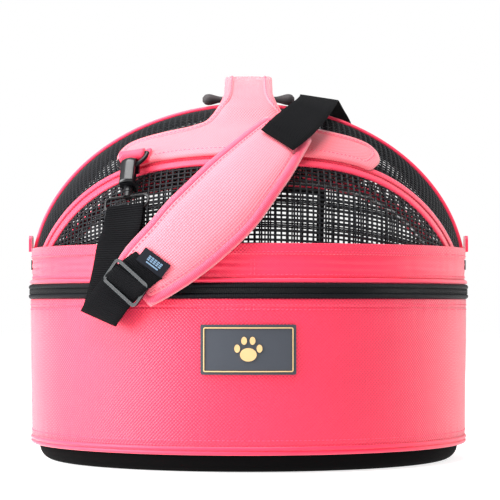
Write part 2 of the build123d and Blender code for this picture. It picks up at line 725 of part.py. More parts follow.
def build_dome():
    save(zip_teeth(ZIP_PLANE_Z + PARTING / 2, ZIP_PLANE_Z + TEETH_H), "zip_teeth_upper", BLACK)
    save(zip_flap(ZIP_PLANE_Z + TEETH_H + 0.3, ZIP_PLANE_Z + ZIP_HALF_H), "zip_flap_upper", BLACK)
    save(collar_piping(), "collar_piping", PINK)
    save(collar(), "collar_band", PINK)
    save(collar_hem(), "collar_hem", PINK)
    save(ring(COLLAR_R - COLLAR_T - RIM_WIRE_R - 0.3, RIM_WIRE_R, COLLAR_FOOT_Z + 9), "rim_wire", GREY)
    save(hoop_rod(-1), "front_hoop_rod", GREY)
    save(hoop_rod(1), "back_hoop_rod", GREY)
    save(arch(ROD_INSET, ROD_R, COLLAR_TOP_Z - 6), "ridge_rod", GREY)
    save(hoop_band(-1), "front_hoop_band", PINK)
    save(hoop_band(1), "back_hoop_band", PINK)
    save(hoop_coil(-1), "front_door_coil", PINK)
    save(ridge_piping(), "ridge_piping", PINK)
    save(front_mesh(), "front_mesh", BLACK)
    save(top_mesh(-1), "top_mesh_front", BLACK)
    save(top_mesh(1), "top_mesh_back", BLACK)
    save(back_mesh_sides(), "back_mesh_sides", BLACK)
    save(door_mesh(), "back_door_mesh", BLACK)
    save(door_hem(), "back_door_hem", PINK)
    save(saddle(-1), "saddle_front", PINK)
    save(saddle(1), "saddle_back", PINK)
    save(handle(), "carry_handle", PINK)
    save(cross_bar(), "cross_bar", GREY)
    for name, sign in (("left", -1), ("right", 1)):
        save(side_tab(sign), "side_tab_" + name, PINK)
        save(keeper(sign), "belt_keeper_" + name, BLACK)


def build_strap():
    for name, side in (("front", -1), ("back", 1)):
        save(web_loop(side) + loop_tail(side), "ring_loop_" + name, PINK)
        save(d_ring(side), "d_ring_" + name, BLACK)
        save(hook_body(side), "hook_body_" + name, BLACK)
        save(hook_gate(side), "hook_gate_" + name, BLACK)
        save(strap_ring(side), "strap_ring_" + name, BLACK)
    save(strap_front(), "strap_webbing_front", BLACK)
    save(strap_return(), "strap_webbing_return", BLACK)
    save(turn(-1), "strap_turn_front", BLACK)
    save(strap_over() + turn(1), "strap_webbing_over", BLACK)
    save(draped(PAD, PAD_LIFT, PAD_LIFT + PAD_T), "shoulder_pad", PINK)
    save(tri_glide(), "tri_glide", BLACK)
    save(woven_label(), "woven_label", BLACK)


if __name__ == "__main__":
    os.makedirs("parts", exist_ok=True)
    build_base()
    build_dome()
    build_strap()
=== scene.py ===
"""Looks of the round soft pet carrier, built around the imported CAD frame."""
import math

import bpy
import numpy as np
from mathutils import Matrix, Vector
from mathutils.geometry import delaunay_2d_cdt


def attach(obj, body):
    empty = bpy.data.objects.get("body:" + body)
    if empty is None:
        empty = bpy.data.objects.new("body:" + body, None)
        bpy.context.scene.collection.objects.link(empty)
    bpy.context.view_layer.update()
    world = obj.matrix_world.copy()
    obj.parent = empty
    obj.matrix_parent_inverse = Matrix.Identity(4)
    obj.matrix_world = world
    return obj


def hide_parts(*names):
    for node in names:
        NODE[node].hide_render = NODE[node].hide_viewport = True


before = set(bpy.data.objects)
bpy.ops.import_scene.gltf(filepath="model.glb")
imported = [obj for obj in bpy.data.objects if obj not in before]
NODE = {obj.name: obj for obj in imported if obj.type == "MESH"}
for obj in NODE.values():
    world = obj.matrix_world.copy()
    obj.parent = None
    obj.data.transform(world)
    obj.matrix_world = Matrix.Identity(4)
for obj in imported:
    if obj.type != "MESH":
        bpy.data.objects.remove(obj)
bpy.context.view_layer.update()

K = 0.001  # the shapes below are worked out in millimetres
DOME_R = 213.0
DOME_RISE = 168.5
DOME_Z = 180.0
HOOP_Y = 175.5
HOOP_Z = 278.5
TILT = math.radians(38.9)
BAND_W = 16.0
COIL_AT = 8.4
NET_FOOT_Z = 205.2
DRUM_FOOT_R = 214.0
DRUM_FOOT_Z = 24.5
DRUM_H = 132.0
DRUM_FLARE = 1.5
DOOR_HALF = 78.0
DOOR_TAPE = 4.8
HANDLE_HALF = 21.6
YOKE_LIFT = 2.9
WEB_W, WEB_T = 38.0, 1.6
WRAP_R = 2.75
WRAP_HALF = 17.5
PAD_GAP = 14.0
CORE = np.array([0.0, 0.0, 120.0])


# ---------------------------------------------------------------- materials

def node(tree, kind, **values):
    made = tree.nodes.new(kind)
    for key, value in values.items():
        if key in made.inputs:
            made.inputs[key].default_value = value
        else:
            setattr(made, key, value)
    return made


def material(name, color, rough, metal=0.0, sheen=0.0, coat=0.0, spec=0.5, vary=0.05):
    mat = bpy.data.materials.new(name)
    mat.use_nodes = True
    tree = mat.node_tree
    bsdf = tree.nodes["Principled BSDF"]
    bsdf.inputs["Roughness"].default_value = rough
    bsdf.inputs["Metallic"].default_value = metal
    bsdf.inputs["Sheen Weight"].default_value = sheen
    bsdf.inputs["Sheen Roughness"].default_value = 0.4
    bsdf.inputs["Coat Weight"].default_value = coat
    bsdf.inputs["Specular IOR Level"].default_value = spec
    place = node(tree, "ShaderNodeTexCoord")
    cloud = node(tree, "ShaderNodeTexNoise", Scale=14.0, Detail=5.0)
    tree.links.new(place.outputs["Object"], cloud.inputs["Vector"])
    ramp = node(tree, "ShaderNodeValToRGB")
    low = [c * (1 - vary) for c in color]
    high = [min(c * (1 + vary), 1.0) for c in color]
    ramp.color_ramp.elements[0].color = (*low, 1)
    ramp.color_ramp.elements[0].position = 0.35
    ramp.color_ramp.elements[1].color = (*high, 1)
    ramp.color_ramp.elements[1].position = 0.65
    tree.links.new(cloud.outputs["Fac"], ramp.inputs["Fac"])
    tree.links.new(ramp.outputs["Color"], bsdf.inputs["Base Color"])
    return mat, tree, bsdf, place


def bump(tree, bsdf, height, strength, depth, before=None):
    made = node(tree, "ShaderNodeBump", Strength=strength, Distance=depth)
    tree.links.new(height, made.inputs["Height"])
    if before is not None:
        tree.links.new(before.outputs["Normal"], made.inputs["Normal"])
    tree.links.new(made.outputs["Normal"], bsdf.inputs["Normal"])
    return made


def math_node(tree, how, a, b):
    made = node(tree, "ShaderNodeMath", operation=how)
    for slot, value in ((0, a), (1, b)):
        if isinstance(value, (int, float)):
            made.inputs[slot].default_value = value
        else:
            tree.links.new(value, made.inputs[slot])
    return made.outputs[0]


def ripple(tree, value, pitch):
    # a smooth wave of that pitch (metres) along a coordinate in metres
    turned = math_node(tree, "MULTIPLY", value, 2 * math.pi / pitch)
    return math_node(tree, "SINE", turned, 0.0)


def darken(tree, bsdf, factor, amount):
    # multiplies the base colour down where factor is low
    old = bsdf.inputs["Base Color"].links[0].from_socket
    mix = node(tree, "ShaderNodeMixRGB", blend_type="MULTIPLY", Fac=amount)
    tree.links.new(old, mix.inputs["Color1"])
    tree.links.new(factor, mix.inputs["Color2"])
    tree.links.new(mix.outputs["Color"], bsdf.inputs["Base Color"])


def woven(name, color, rough, pitch, strength=0.5, turned=0.0, dots=0.25, **more):
    """A plain weave on UVs in metres: warp and weft cross in a small basket pattern."""
    mat, tree, bsdf, place = material(name, color, rough, **more)
    split = node(tree, "ShaderNodeSeparateXYZ")
    source = place.outputs["UV"]
    if turned:
        turn = node(tree, "ShaderNodeMapping")
        turn.inputs["Rotation"].default_value = (0, 0, turned)
        tree.links.new(source, turn.inputs["Vector"])
        source = turn.outputs["Vector"]
    tree.links.new(source, split.inputs["Vector"])
    across = ripple(tree, split.outputs["X"], pitch)
    along = ripple(tree, split.outputs["Y"], pitch)
    cross = math_node(tree, "MULTIPLY", across, along)
    bump(tree, bsdf, cross, strength, 0.0004)
    level = math_node(tree, "MULTIPLY_ADD", cross, 0.5)
    level.node.inputs[2].default_value = 0.5
    darken(tree, bsdf, level, dots)
    return mat


def ribbed(name, color, rough, pitch, strength=0.6, **more):
    """Webbing: ribs across the tape with a fine lengthwise thread, on UVs in metres."""
    mat, tree, bsdf, place = material(name, color, rough, **more)
    split = node(tree, "ShaderNodeSeparateXYZ")
    tree.links.new(place.outputs["UV"], split.inputs["Vector"])
    ribs = ripple(tree, split.outputs["X"], pitch)
    thread = ripple(tree, split.outputs["Y"], pitch * 0.55)
    mixed = math_node(tree, "MULTIPLY_ADD", thread, 0.35)
    tree.links.new(ribs, mixed.node.inputs[2])
    bump(tree, bsdf, mixed, strength, 0.0004)
    level = math_node(tree, "MULTIPLY_ADD", ribs, 0.5)
    level.node.inputs[2].default_value = 0.5
    darken(tree, bsdf, level, 0.3)
    return mat


def grainy(name, color, rough, scale, strength, depth=0.0003, **more):
    """Fine grain in object space, for moulded and coated pieces and for piping."""
    mat, tree, bsdf, place = material(name, color, rough, **more)
    grain = node(tree, "ShaderNodeTexNoise", Scale=scale, Detail=3.0)
    tree.links.new(place.outputs["Object"], grain.inputs["Vector"])
    bump(tree, bsdf, grain.outputs["Fac"], strength, depth)
    spread = node(tree, "ShaderNodeMapRange")
    spread.inputs["To Min"].default_value = max(rough - 0.08, 0.02)
    spread.inputs["To Max"].default_value = min(rough + 0.1, 1.0)
    tree.links.new(grain.outputs["Fac"], spread.inputs["Value"])
    tree.links.new(spread.outputs["Result"], bsdf.inputs["Roughness"])
    return mat


def fluffy(name, color):
    mat, tree, bsdf, place = material(name, color, 0.95, sheen=0.8, vary=0.1)
    pile = node(tree, "ShaderNodeTexVoronoi", Scale=420.0)
    tuft = node(tree, "ShaderNodeTexNoise", Scale=120.0, Detail=6.0)
    tree.links.new(place.outputs["Object"], pile.inputs["Vector"])
    tree.links.new(place.outputs["Object"], tuft.inputs["Vector"])
    first = bump(tree, bsdf, pile.outputs["Distance"], 0.7, 0.0015)
    bump(tree, bsdf, tuft.outputs["Fac"], 0.8, 0.003, first)
    return mat


PINK = (0.90, 0.021, 0.080)
INK = (0.0035, 0.0036, 0.0045)
CLOTH = {"sheen": 0.42, "spec": 0.5}
DARK = {"spec": 0.06}
M = {
    "nylon": woven("ballistic_nylon", PINK, 0.46, 0.0034, 0.5, dots=0.28, **CLOTH),
    "fine": woven("fine_nylon", PINK, 0.46, 0.0024, 0.35, dots=0.15, **CLOTH),
    # painted light: the yoke's pink is lighter than PINK to stand in for the top light and sheen on the
    # upward-facing saddle
    "yoke": woven("yoke_nylon_painted_top_light", (0.91, 0.14, 0.185), 0.5, 0.0026, 0.45, dots=0.2, sheen=0.45, spec=0.5),
    # painted light: the pad's pink is lighter than PINK to stand in for the light from above on its top surface
    "pad": woven("pad_airmesh_painted_top_light", (0.92, 0.16, 0.215), 0.55, 0.0031, 0.5, turned=0.785, dots=0.3, sheen=0.5),
    "binding": ribbed("pink_binding", (0.91, 0.06, 0.14), 0.5, 0.0016, 0.4, **CLOTH),
    "piping": grainy("pink_piping", PINK, 0.5, 900.0, 0.4, **CLOTH),
    "coil": grainy("pink_coil", (0.62, 0.012, 0.045), 0.42, 900.0, 0.2, spec=0.3),
    "thread": grainy("pink_thread", (0.92, 0.075, 0.16), 0.6, 700.0, 0.2),
    "mesh": grainy("black_mesh", (0.005, 0.0055, 0.0075), 0.42, 800.0, 0.3, spec=0.16),
    "webbing": ribbed("black_webbing", INK, 0.7, 0.0021, 0.8, **DARK),
    "ziptape": ribbed("zip_tape", (0.003, 0.0033, 0.0055), 0.5, 0.0016, 0.5, spec=0.12),
    "zipcoil": grainy("zip_coil", INK, 0.4, 700.0, 0.3, spec=0.12),
    "tray": grainy("tray_plastic", (0.003, 0.0028, 0.003), 0.75, 1500.0, 0.7, spec=0.03),
    "plastic": grainy("black_plastic", (0.006, 0.006, 0.007), 0.5, 900.0, 0.3, **DARK),
    "metal": grainy("black_metal", (0.004, 0.004, 0.005), 0.34, 500.0, 0.12, coat=0.12, spec=0.2),
    "gloss": grainy("black_gloss", (0.004, 0.004, 0.005), 0.3, 500.0, 0.08, coat=0.2, spec=0.3),
    # painted highlight: grey colour for the tri-glide's lit edges, drawn by glide_edges
    "edge": grainy("glide_painted_highlight", (0.055, 0.065, 0.070), 0.4, 500.0, 0.2, spec=0.3),
    "steel": grainy("steel_rod", (0.30, 0.30, 0.31), 0.34, 600.0, 0.2, metal=1.0),
    "rubber": grainy("grey_rubber", (0.042, 0.036, 0.038), 0.6, 1200.0, 0.5, spec=0.25),
    "slate": grainy("badge_slate", (0.048, 0.054, 0.066), 0.5, 900.0, 0.25, spec=0.2),
    "tan": grainy("badge_tan", (0.62, 0.42, 0.20), 0.45, 900.0, 0.2, spec=0.25),
    "foam": grainy("foam", (0.55, 0.53, 0.48), 0.9, 700.0, 0.8, 0.001),
    "plush": fluffy("plush", (0.72, 0.69, 0.63)),
    "board": grainy("board", (0.16, 0.15, 0.14), 0.8, 500.0, 0.4),
    "ziptape2": grainy("door_tape", (0.006, 0.006, 0.008), 0.6, 900.0, 0.4, **DARK),
    "label": woven("label_satin", (0.005, 0.006, 0.010), 0.6, 0.0012, 0.3, spec=0.08),
    "print": grainy("label_print", (0.085, 0.155, 0.24), 0.6, 900.0, 0.2),
}


# ---------------------------------------------------------------- geometry

def mesh(name, verts, faces, mat, body, uv=None, smooth=True, slot=None, replaces=()):
    """A piece from millimetre vertices; uv holds one (u, v) in millimetres per face corner."""
    data = bpy.data.meshes.new(name)
    data.from_pydata((np.asarray(verts, float) * K).tolist(), [], [list(map(int, f)) for f in faces])
    if uv is not None:
        layer = data.uv_layers.new(name="uv")
        layer.data.foreach_set("uv", (np.asarray(uv, float) * K).ravel())
    data.materials.append(M[mat])
    data.polygons.foreach_set("use_smooth", [smooth] * len(data.polygons))
    data.update()
    made = bpy.data.objects.new(name, data)
    bpy.context.scene.collection.objects.link(made)
    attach(made, body)
    if replaces:
        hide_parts(*replaces)
    return made


def loft(name, rings, mat, body, close=False, **more):
    """Quads between closed cross-sections, (sections, points, 3); ends are capped unless closed."""
    rings = np.asarray(rings, float)
    n, m = rings.shape[:2]
    step = np.linalg.norm(np.diff(rings, axis=0), axis=2).mean(1)
    u = np.concatenate([[0], np.cumsum(step)])
    if close:
        u = np.append(u, u[-1] + np.linalg.norm(rings[0] - rings[-1], axis=1).mean())
    wrap = np.concatenate([rings, rings[:, :1]], axis=1)
    v = np.concatenate([[0], np.cumsum(np.linalg.norm(np.diff(wrap, axis=1), axis=2).mean(0))])
    faces, uv = [], []
    for i in range(n if close else n - 1):
        k = (i + 1) % n
        for j in range(m):
            l = (j + 1) % m
            faces.append((i * m + j, k * m + j, k * m + l, i * m + l))
            uv += [(u[i], v[j]), (u[i + 1], v[j]), (u[i + 1], v[j + 1]), (u[i], v[j + 1])]
    if not close:
        faces.append(list(range(m)))
        faces.append([(n - 1) * m + j for j in reversed(range(m))])
        uv += [(0, v[j]) for j in range(m)] + [(u[-1], v[j]) for j in reversed(range(m))]
    return mesh(name, rings.reshape(-1, 3), faces, mat, body, uv, **more)


def unit(v):
    v = np.asarray(v, float)
    return v / np.maximum(np.linalg.norm(v, axis=-1, keepdims=True), 1e-9)


def grid_normals(grid, close=False):
    if close:
        long = np.roll(grid, -1, 0) - np.roll(grid, 1, 0)
    else:
        long = np.gradient(grid, axis=0)
    return unit(np.cross(long, np.gradient(grid, axis=1)))


def skin(name, grid, thick, mat, body, close=False, normals=None, **more):
    """A sheet of that thickness about a grid of points, with rounded side edges."""
    grid = np.asarray(grid, float)
    n = grid_normals(grid, close) if normals is None else normals
    half = np.broadcast_to(np.asarray(thick, float) / 2, grid.shape[:2])[..., None]
    side_l = unit(grid[:, 0] - grid[:, 1]) * half[:, 0]
    side_r = unit(grid[:, -1] - grid[:, -2]) * half[:, -1]
    top = grid + n * half
    low = (grid - n * half)[:, ::-1]
    left = (grid[:, 0] + side_l * 0.8)[:, None]
    right = (grid[:, -1] + side_r * 0.8)[:, None]
    rings = np.concatenate([left, top, right, low], axis=1)
    return loft(name, rings, mat, body, close, **more)


def resample(points, count=None, pitch=None, close=False):
    """Evenly spaced points on a smooth curve through the given ones."""
    p = np.asarray(points, float)
    if close:
        p = np.concatenate([p[-2:], p, p[:3]])
    else:
        p = np.concatenate([[2 * p[0] - p[1]], p, [2 * p[-1] - p[-2]]])
    out = []
    first, last = (2, len(p) - 3) if close else (1, len(p) - 2)
    for i in range(first, last):
        t = np.linspace(0, 1, 13)[:-1, None]
        a, b, c, d = p[i - 1], p[i], p[i + 1], p[i + 2]
        out.append(0.5 * (2 * b + (c - a) * t + (2 * a - 5 * b + 4 * c - d) * t ** 2
                          + (3 * b - a - 3 * c + d) * t ** 3))
    out.append(p[last][None])
    fine = np.concatenate(out)
    run = np.concatenate([[0], np.cumsum(np.linalg.norm(np.diff(fine, axis=0), axis=1))])
    if count is None:
        count = max(int(round(run[-1] / pitch)) + 1, 3)
    where = np.linspace(0, run[-1], count)
    if close:
        where = where[:-1]
    return np.stack([np.interp(where, run, fine[:, k]) for k in range(fine.shape[1])], axis=1)


def smooth(x, low, high):
    t = np.clip((np.asarray(x, float) - low) / (high - low), 0, 1)
    return t * t * (3 - 2 * t)


def waves(x, seed, count=5, base=1.0):
    """Low, wandering ripples between about -1 and 1."""
    rng = np.random.default_rng(seed)
    total = np.zeros_like(np.asarray(x, float))
    for k in range(count):
        rate = base * (1 + k * 0.83 + rng.random() * 0.4)
        total = total + np.sin(np.asarray(x) * rate + rng.random() * 6.28) / (1 + k * 0.5)
    return total / 2.2


def dome_r(z, o=0.0):
    z = np.asarray(z, float)
    part = 1 - (np.maximum(z - DOME_Z, 0) / (DOME_RISE + o)) ** 2
    return (DOME_R + o) * np.sqrt(np.maximum(part, 0))


def front(x, z, o, side=-1):
    """Points of the offset dome, or of the drum below it, at x and height z."""
    x, z, o = np.broadcast_arrays(np.asarray(x, float), z, o)
    y = side * np.sqrt(np.maximum(dome_r(z, o) ** 2 - x ** 2, 0))
    return np.stack([x, y, z], axis=-1)


def above(x, y, o):
    x, y, o = np.broadcast_arrays(np.asarray(x, float), y, o)
    z = DOME_Z + (DOME_RISE + o) * np.sqrt(np.maximum(1 - (x ** 2 + y ** 2) / (DOME_R + o) ** 2, 0))
    return np.stack([x, y, z], axis=-1)


def outward(p):
    p = np.asarray(p, float)
    up = np.maximum(p[..., 2] - DOME_Z, 0) / DOME_RISE ** 2
    return unit(np.stack([p[..., 0] / DOME_R ** 2, p[..., 1] / DOME_R ** 2, up], axis=-1))


def bow(x, shift):
    """Height over the hoop plane of the line lying shift above the hoop's lower edge."""
    t = (np.asarray(x, float) / 200) ** 2
    return 4.0 + 54.3 * t - 94.7 * t ** 2 + 20.7 * t ** 3 + shift * (1 + 0.4 * t ** 2)


def hoop_height(p, side):
    """How far points lie above the lower edge of that side's hoop."""
    flat = -side * math.sin(TILT) * (p[..., 1] - side * HOOP_Y) + math.cos(TILT) * (p[..., 2] - HOOP_Z)
    t = np.minimum((p[..., 0] / 200) ** 2, 1.3)
    return (flat - bow(np.sqrt(t) * 200, 0.0)) / (1 + 0.4 * t ** 2)


def hoop_at(side, o, shift, x):
    """Where the shifted hoop line meets the offset dome, at each x."""
    x = np.asarray(x, float)
    c, s = math.cos(TILT), math.sin(TILT)
    a, b = DOME_R + o, DOME_RISE + o
    rise = bow(x, shift)
    y0 = side * HOOP_Y - side * s * rise
    z0 = HOOP_Z + c * rise - DOME_Z
    aa = (c / a) ** 2 + (s / b) ** 2
    bb = y0 * side * c / a ** 2 + z0 * s / b ** 2
    cc = (y0 / a) ** 2 + (z0 / b) ** 2 + (x / a) ** 2 - 1
    reach = (np.sqrt(np.maximum(bb * bb - aa * cc, 0)) - bb) / aa
    return np.stack([x, y0 + side * c * reach, DOME_Z + z0 + s * reach], axis=-1)


def hoop(side, o, shift, count, z_low):
    """The hoop line from left to right, down to z_low at both ends."""
    low, high = 110.0, 214.0
    for _ in range(24):
        mid = (low + high) / 2
        low, high = (mid, high) if hoop_at(side, o, shift, mid)[2] > z_low else (low, mid)
    return hoop_at(side, o, shift, low * np.sin(np.linspace(-math.pi / 2, math.pi / 2, count)))


def boxes(starts, ends, normals, width, low, high):
    """Small bars from starts to ends: vertices and faces, open at their ends."""
    along = unit(ends - starts)
    side = unit(np.cross(along, normals)) * (width / 2)
    low, high = (np.broadcast_to(v, (len(starts), 2)) for v in (low, high))
    parts = []
    for point, e in ((starts, 0), (ends, 1)):
        foot, top = normals * low[:, e:e + 1], normals * high[:, e:e + 1] * 0.7
        parts += [point + side * 0.9 + foot, point + side + top,
                  point - side + top, point - side * 0.9 + foot]
    verts = np.stack(parts, axis=1).reshape(-1, 3)
    quad = np.array([(0, 4, 5, 1), (1, 5, 6, 2), (2, 6, 7, 3), (3, 7, 4, 0)])
    faces = (np.arange(len(starts))[:, None, None] * 8 + quad).reshape(-1, 4)
    return verts, faces


def dashes(name, paths, mat, body, length=2.7, gap=1.5, width=0.75, rise=0.45, slot=None):
    """Stitches: short rounded dashes along (points, normals) paths."""
    verts, faces = [], []
    for points, normals in paths:
        points = np.asarray(points, float)
        run = np.concatenate([[0], np.cumsum(np.linalg.norm(np.diff(points, axis=0), axis=1))])
        at = np.arange(0, run[-1] - length, length + gap)

        def pick(data, s):
            return np.stack([np.interp(s, run, data[:, k]) for k in range(3)], axis=1)

        ends = [pick(points, at), pick(points, at + length / 2), pick(points, at + length)]
        ups = [unit(pick(normals, at + length * f)) for f in (0, 0.5, 1)]
        along = unit(ends[2] - ends[0])
        for k in range(len(at)):
            base = len(verts)
            for e, (reach, lift) in enumerate(((0.25, 0.0), (0.5, rise), (0.25, 0.0))):
                up = ups[e][k]
                side = np.cross(along[k], up) * width * (0.5 if e == 1 else 0.3)
                here = ends[e][k]
                verts += [here + side - up * 0.2, here + up * (lift + 0.12), here - side - up * 0.2]
            for e in (0, 3):
                faces += [(base + e, base + e + 3, base + e + 4, base + e + 1),
                          (base + e + 1, base + e + 4, base + e + 5, base + e + 2)]
            faces += [(base, base + 1, base + 2), (base + 8, base + 7, base + 6)]
    return mesh(name, verts, faces, mat, body, slot=slot)


def circle(radius, z, count=360):
    t = np.linspace(-math.pi / 2, 1.5 * math.pi, count)
    points = np.stack([radius * np.cos(t), radius * np.sin(t), np.full(count, float(z))], axis=1)
    normals = np.stack([np.cos(t), np.sin(t), np.zeros(count)], axis=1)
    return points, normals


def turned_grid(profile, count=480, ripple_fn=None):
    """A closed band about Z from a (radius, height) profile."""
    t = np.linspace(0, 2 * math.pi, count + 1)[:-1] - math.pi / 2
    prof = np.asarray(profile, float)
    r = np.broadcast_to(prof[:, 0], (count, len(prof))).copy()
    z = np.broadcast_to(prof[:, 1], (count, len(prof))).copy()
    if ripple_fn is not None:
        r = r + ripple_fn(t[:, None], z)
    return np.stack([r * np.cos(t)[:, None], r * np.sin(t)[:, None], z], axis=-1)


# ---------------------------------------------------------------- base

def drum_cover():
    hem = [145, 147, 148.2, 149.0, 149.8, 151.5, 154, 155.4, 156.3]
    z = np.concatenate([[24.5, 25.4, 26.6], np.linspace(29, 143, 30), hem])
    r = DRUM_FOOT_R + (z - DRUM_FOOT_Z) / DRUM_H * DRUM_FLARE
    seam = 0.6 * np.exp(-((z - 149.0) / 0.6) ** 2) + 0.5 * np.exp(-((z - 25.4) / 0.6) ** 2)

    def soft(t, zz):
        pucker = 0.16 * waves(t * 60, 3) * np.exp(-((zz - 150) / 14) ** 2)
        pucker = pucker + 0.14 * waves(t * 55, 4) * np.exp(-((zz - 28) / 12) ** 2)
        return pucker + 0.25 * waves(t * 3 + zz * 0.02, 5) * np.sin((zz - 24) / DRUM_H * math.pi)

    profile = np.stack([r - seam, z], axis=1)
    grid = turned_grid(profile, 480, soft)
    skin("drum_cover_fabric", grid, 1.6, "nylon", "base", True, slot="pink_fabric",
         replaces=["drum_cover"])
    rows = [circle(216.35, z) for z in (151.2, 146.9)] + [circle(215.0, 29.4)]
    dashes("drum_cover_stitches", rows, "thread", "base", slot="pink_fabric")


def zip_chain():
    # two rows of coil teeth that part with the lid
    count = 880
    t = np.arange(count) / count * 2 * math.pi
    for name, body, z, shift in (("lower", "base", (161.7, 164.55), 0.0),
                                 ("upper", "dome", (163.45, 166.3), 0.5)):
        a = t + shift * 2 * math.pi / count
        n = np.stack([np.cos(a), np.sin(a), np.zeros(count)], axis=1)
        low, high = n * 216.9, n * 216.9
        low[:, 2], high[:, 2] = z
        verts, faces = boxes(low, high, n, 0.95, -0.9, 1.2)
        mesh("zip_coil_" + name, verts, faces, "zipcoil", body, slot="black_webbing")
    for name, z0, z1, body in (("lower", 157.0, 161.5, "base"), ("upper", 166.5, 171.0, "dome")):
        up = 1 if name == "upper" else -1
        inner, outer = (z0, z1) if up > 0 else (z1, z0)
        ring = [(214.9, inner), (217.2, inner), (218.1, inner + up * 0.7), (218.4, inner + up * 1.9),
                (218.1, inner + up * 3.2), (217.2, outer - up * 0.4), (216.2, outer), (214.9, outer)]
        grid = turned_grid(ring, 360)
        loft("zip_tape_" + name, grid if up > 0 else grid[:, ::-1], "ziptape", body, True,
             slot="black_webbing", replaces=["zip_flap_" + name])


def collar():
    z = np.concatenate([[175.8, 176.8], np.linspace(178, 196, 22), [197.5, 200, 203, 205.6]])

    def soft(t, zz):
        along = np.exp(-((zz - 186) / 7.5) ** 2)
        fold = 0.55 * np.sin((zz - 176) * 0.95 + 1.3 * waves(t * 3, 11)) * along
        return fold * (0.55 + 0.45 * waves(t * 4, 12)) + 0.2 * waves(t * 24, 13) * along

    profile = np.stack([np.full(len(z), 214.0), z], axis=1)
    skin("collar_fabric", turned_grid(profile, 480, soft), 1.5, "fine", "dome", True,
         slot="pink_fabric", replaces=["collar_band"])
    hem_z = np.array([197.0, 197.8, 199, 201, 203, 205, 205.9, 206.3])
    fold = turned_grid(np.stack([np.full(8, 215.2), hem_z], axis=1), 480,
                       lambda t, zz: 0.1 * waves(t * 40, 14) * (zz < 204))
    skin("collar_hem_fold", fold, 1.1, "nylon", "dome", True, slot="pink_fabric", replaces=["collar_hem"])
    dashes("collar_stitches", [circle(215.85, 199.0), circle(214.95, 178.4)], "thread", "dome",
           slot="pink_fabric")
    # the upright seam where the two halves of the collar meet, a little right of the middle
    seam = front(np.full(9, 4.0), np.linspace(178, 205, 9), 2.0)
    dashes("collar_seam", [(seam + [dx, -0.3, 0], outward(seam)) for dx in (-1.6, 1.6)], "thread", "dome",
           slot="pink_fabric")


def cushion():
    radius, z0, z1 = 197.5, 20.8, 58.0
    mid = 36.0
    t = np.linspace(0, 2 * math.pi, 201)[:-1]
    rings = []
    for side, height in ((1, z1 - mid), (-1, mid - z0)):
        rows = []
        for k in np.linspace(0.02, 1.0, 26):
            r = radius * k
            lift = (1 - k ** 6) ** 0.42 * (0.93 + 0.07 * (1 - k * k))
            wrinkle = 0.9 * waves(t * 16, 21) * smooth(k, 0.72, 0.93) * (1 - k ** 14)
            dent = -3.2 * math.exp(-(r / 26) ** 2) if side > 0 else 0.0
            dip = 1.2 * waves(t * 3 + k * 5, 22) * k * (1 - k)
            z = mid + side * (height * lift + wrinkle + dip - 1.2 + dent)
            rows.append(np.stack([r * np.cos(t), r * np.sin(t), np.clip(z, z0, z1)], axis=1))
        rings += rows if side > 0 else rows[::-1]
    made = loft("cushion_padded", np.array(rings), "plush", "cushion", slot="plush",
                replaces=["bed_cushion"])
    tube(circle(radius + 0.6, mid, 241)[0][:-1], 1.9, "cushion_piping", "piping", "cushion", True,
         "pink_fabric")
    a = np.linspace(0, 2 * math.pi, 25)[:-1]
    button = [np.stack([r * np.cos(a), r * np.sin(a), np.full(24, z)], axis=1)
              for r, z in ((8, 53.5), (8.2, 55.2), (6.5, 56.3), (3.0, 56.8))]
    loft("cushion_button", button, "fine", "cushion", slot="pink_fabric")


def tube(path, radius, name, mat, body, close=False, slot=None, sides=12, replaces=()):
    path = np.asarray(path, float)
    if close:
        along = unit(np.roll(path, -1, 0) - np.roll(path, 1, 0))
    else:
        along = unit(np.gradient(path, axis=0))
    up = unit(path - CORE)
    side = unit(np.cross(along, up))
    up = np.cross(side, along)
    a = np.linspace(0, 2 * math.pi, sides + 1)[:-1, None]
    rings = path[:, None] + radius * (np.cos(a) * side[:, None] + np.sin(a) * up[:, None])
    return loft(name, rings, mat, body, close, slot=slot, replaces=replaces)


# ---------------------------------------------------------------- dome fabric

